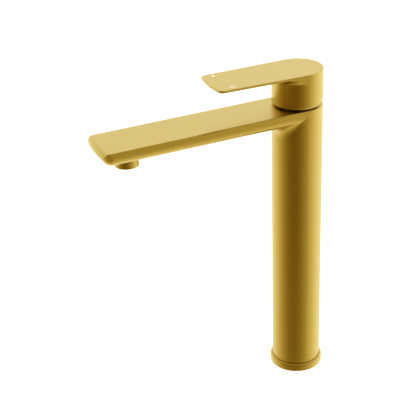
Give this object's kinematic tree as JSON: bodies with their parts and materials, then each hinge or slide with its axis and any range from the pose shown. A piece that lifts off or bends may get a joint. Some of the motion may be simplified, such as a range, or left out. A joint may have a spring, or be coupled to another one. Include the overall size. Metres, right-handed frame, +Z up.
{
  "type": "single-lever basin mixer tap",
  "caption": "Tall round-column basin mixer with a long flat spout and a flat lever on top, in satin gold.",
  "frame": {"origin": "on the column's axis, in the deck plane that the base ring stands on", "axes": "+Z up along the column, -Y along the spout, +X to the user's right"},
  "size_m": [0.0526, 0.2252, 0.3203],
  "materials": {
    "gold_satin": "satin brushed gold, vapour-deposited on brass",
    "brass_raw": "machined, uncoated",
    "steel": "turned stainless steel",
    "plastic_white": "moulded acetal",
    "plastic_grey": "moulded acetal",
    "plastic_red": "moulded acetal",
    "rubber_black": "matt EPDM",
    "ceramic_white": "lapped alumina",
    "mark_light": "laser-marked, lighter than the gold"
  },
  "bodies": {
    "faucet_body": {"base_flange": "gold_satin", "base_gasket": "rubber_black", "mounting_base": "brass_raw", "body": "gold_satin", "valve_holder": "brass_raw", "holder_seals": "rubber_black", "cartridge_base": "plastic_white", "port_seals": "rubber_black", "fixed_disc": "ceramic_white", "cartridge_housing": "plastic_white", "temperature_stop": "plastic_red", "retaining_nut": "brass_raw", "cover_ring": "gold_satin", "aerator_housing": "gold_satin", "aerator_washer": "rubber_black", "aerator_core": "plastic_white", "flow_regulator": "plastic_grey", "aerator_screen": "steel"},
    "turret": {"stem_turret": "plastic_white", "pivot_pin": "steel"},
    "handle": {"handle": "gold_satin", "stem": "steel", "set_screw": "steel", "screw_plug": "gold_satin", "hot_mark": "mark_light", "cold_mark": "mark_light"},
    "disc": {"moving_disc": "ceramic_white", "disc_carrier": "plastic_white"}
  },
  "joints": [
    {"name": "handle_swivel", "type": "hinge", "parent": "faucet_body", "child": "turret", "pos_m": [0, 0, 0.2885], "axis": [0, 0, 1], "range_deg": [-45, 45]},
    {"name": "handle_lift", "type": "hinge", "parent": "turret", "child": "handle", "pos_m": [0, 0, 0.2885], "axis": [-1, 0, 0], "range_deg": [0, 15]},
    {"name": "disc_slide", "type": "slide", "parent": "turret", "child": "disc", "axis": [0, -1, 0], "range_m": [0, 0.0053]}
  ],
  "couplings": [
    {"joint": "disc_slide", "follows": "handle_lift", "m_per_rad": 0.02018}
  ]
}
